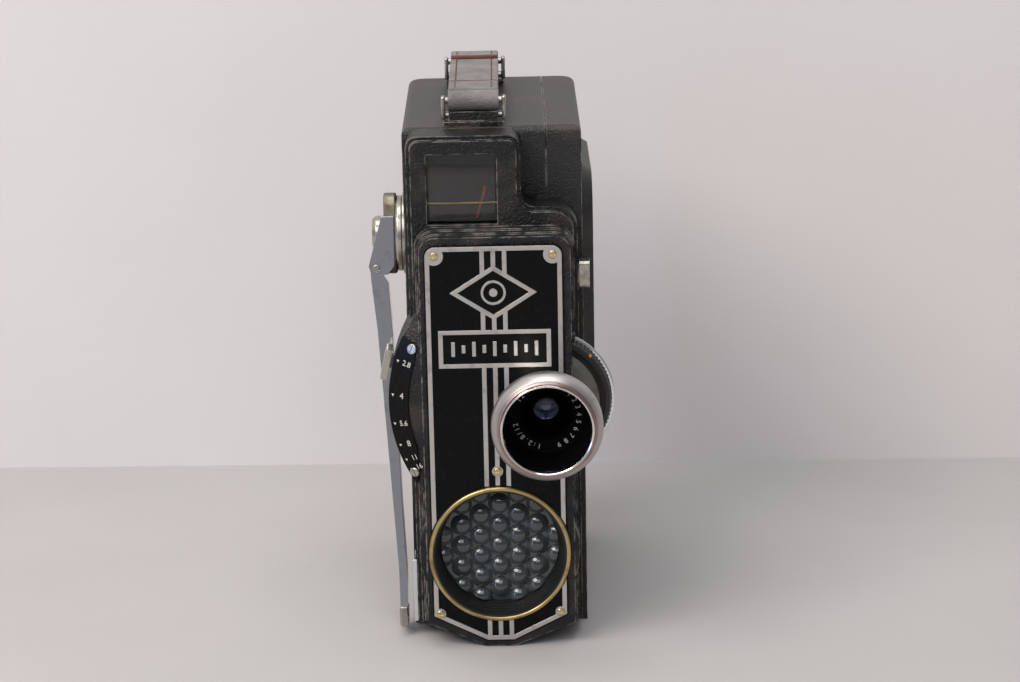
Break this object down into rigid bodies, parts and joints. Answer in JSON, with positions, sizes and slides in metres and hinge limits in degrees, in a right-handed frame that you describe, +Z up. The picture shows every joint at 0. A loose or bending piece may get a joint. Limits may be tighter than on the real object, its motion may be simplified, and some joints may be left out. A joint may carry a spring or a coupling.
{
  "type": "cine camera",
  "caption": "Upright hand-held clockwork cine camera with finder, light meter, side-mounted winding lever, hinged film door, iris scale and leather strap.",
  "frame": {"origin": "centre of the tripod bush at its mouth, on the base plane", "axes": "+Z up, -Y out of the lens, +X towards the film door"},
  "size_m": [0.0717, 0.1304, 0.1626],
  "materials": {
    "crackle_paint": "black crackle finish",
    "black_metal": "black lacquer",
    "brass": "aged",
    "worn_brass": "worn plating",
    "steel": "plain",
    "nickel": "dull nickel plate",
    "chrome": "polished",
    "satin_chrome": "satin",
    "plate_enamel": "black enamel with bright lines",
    "clear_glass": "clear",
    "selenium": "dark grey layer",
    "red_paint": "gloss",
    "leather": "worn, grey-black"
  },
  "bodies": {
    "camera": {"body_case": "crackle_paint", "front_casting": "crackle_paint", "tripod_bush": "brass", "hinge_leaf_case": "black_metal", "hinge_pin": "steel", "shoulder_screw": "black_metal", "nameplate": "plate_enamel", "nameplate_screws": "brass", "cell_ring": "brass", "cell_recess": "black_metal", "cell_glass": "clear_glass", "selenium_cell": "selenium", "meter_housing": "black_metal", "finder_tunnel": "black_metal", "finder_glasses": "clear_glass", "finder_eyepiece": "black_metal", "lens_barrel": "satin_chrome", "lens_hood": "black_metal", "lens_elements": "clear_glass", "iris_blades": "steel", "scale_plate": "plate_enamel", "scale_screws": "nickel", "crank_escutcheon": "nickel", "crank_rest": "chrome", "release_spring": "steel", "main_plate": "brass", "plate_pillars": "steel", "film_gate": "steel", "film_cassette": "black_metal", "strap_anchors": "crackle_paint", "strap_rings": "nickel", "handle_strap": "leather"},
    "door": {"door": "crackle_paint", "hinge_leaf_door": "black_metal"},
    "lock": {"door_lock": "nickel"},
    "crank": {"crank_hub": "nickel", "winding_gear": "brass", "crank_head": "worn_brass", "crank_cheeks": "chrome", "hub_screw": "nickel", "fold_pin": "nickel"},
    "lever_arm": {"crank_arm": "chrome", "crank_grip": "nickel"},
    "arbor": {"barrel_arbor": "steel"},
    "barrel": {"spring_barrel": "brass", "mainspring": "steel"},
    "first": {"first_wheel": "brass"},
    "crown": {"crown_wheel": "brass"},
    "governor": {"governor": "brass"},
    "takeup": {"takeup_spindle": "steel"},
    "shutter": {"shutter_shaft": "steel", "shutter_disc": "black_metal"},
    "aperture": {"aperture_lever": "steel", "aperture_tab": "nickel"},
    "wheel": {"setting_wheel": "black_metal", "wheel_rim": "chrome"},
    "release": {"release_button": "nickel"},
    "needle": {"meter_needle": "red_paint"},
    "pressure": {"pressure_plate": "steel"},
    "claw": {"pulldown_claw": "steel"}
  },
  "joints": [
    {"name": "door_hinge", "type": "hinge", "parent": "camera", "child": "door", "pos_m": [0.0158, 0.0458, 0.076], "axis": [0, 0, 1], "range_deg": [0, 105]},
    {"name": "lock_turn", "type": "hinge", "parent": "door", "child": "lock", "pos_m": [0.026, 0.03, 0.016], "axis": [1, 0, 0], "range_deg": [0, 90]},
    {"name": "winding_lever", "type": "hinge", "parent": "camera", "child": "crank", "pos_m": [-0.028, -0.018, 0.1173], "axis": [1, 0, 0], "range_deg": [0, 110]},
    {"name": "lever_fold", "type": "hinge", "parent": "crank", "child": "lever_arm", "pos_m": [-0.0349, -0.02017, 0.10733], "axis": [0, 0.977, -0.213], "range_deg": [0, 90]},
    {"name": "arbor_turn", "type": "hinge", "parent": "camera", "child": "arbor", "pos_m": [-0.021, 0.012, 0.10616], "axis": [1, 0, 0], "range_deg": [-66, 0]},
    {"name": "shutter_turn", "type": "hinge", "parent": "camera", "child": "shutter", "pos_m": [0.0008, -0.03, 0.075], "axis": [0, 1, 0], "continuous": true},
    {"name": "barrel_turn", "type": "hinge", "parent": "camera", "child": "barrel", "pos_m": [-0.012, 0.012, 0.10616], "axis": [1, 0, 0], "continuous": true},
    {"name": "first_wheel_turn", "type": "hinge", "parent": "camera", "child": "first", "pos_m": [-0.005, 0.012, 0.08016], "axis": [1, 0, 0], "continuous": true},
    {"name": "crown_turn", "type": "hinge", "parent": "camera", "child": "crown", "pos_m": [0, -0.01144, 0.075], "axis": [1, 0, 0], "continuous": true},
    {"name": "governor_turn", "type": "hinge", "parent": "camera", "child": "governor", "pos_m": [-0.01, 0.024, 0.05938], "axis": [1, 0, 0], "continuous": true},
    {"name": "takeup_turn", "type": "hinge", "parent": "camera", "child": "takeup", "pos_m": [0, -0.01431, 0.09659], "axis": [1, 0, 0], "continuous": true},
    {"name": "aperture_turn", "type": "hinge", "parent": "camera", "child": "aperture", "pos_m": [0.0142, -0.044, 0.075], "axis": [0, -1, 0], "range_deg": [0, 40]},
    {"name": "setting_wheel_turn", "type": "hinge", "parent": "camera", "child": "wheel", "pos_m": [0.0142, -0.052, 0.075], "axis": [0, -1, 0], "range_deg": [0, 90]},
    {"name": "release_slide", "type": "slide", "parent": "camera", "child": "release", "axis": [0, 0, -1], "range_m": [0, 0.004], "stiffness_N_per_m": 150, "springref_m": -0.001, "deforming": ["release_spring"]},
    {"name": "needle_turn", "type": "hinge", "parent": "camera", "child": "needle", "pos_m": [-0.0084, -0.0386, 0.1138], "axis": [0, 1, 0], "range_deg": [-30, 5], "stiffness_Nm_per_rad": 0.0005},
    {"name": "pressure_plate_slide", "type": "slide", "parent": "camera", "child": "pressure", "axis": [0, 1, 0], "range_m": [0, 0.0015], "stiffness_N_per_m": 200, "springref_m": -0.001},
    {"name": "claw_slide", "type": "slide", "parent": "camera", "child": "claw", "axis": [0, 0, -1], "range_m": [0, 0.0038]}
  ],
  "couplings": [
    {"joint": "arbor_turn", "follows": "winding_lever", "ratio": -0.6},
    {"joint": "crown_turn", "follows": "shutter_turn", "ratio": 0.45455},
    {"joint": "first_wheel_turn", "follows": "shutter_turn", "ratio": -0.090909},
    {"joint": "governor_turn", "follows": "shutter_turn", "ratio": 0.45455},
    {"joint": "barrel_turn", "follows": "shutter_turn", "ratio": 0.021645},
    {"joint": "takeup_turn", "follows": "shutter_turn", "ratio": -0.064935}
  ]
}
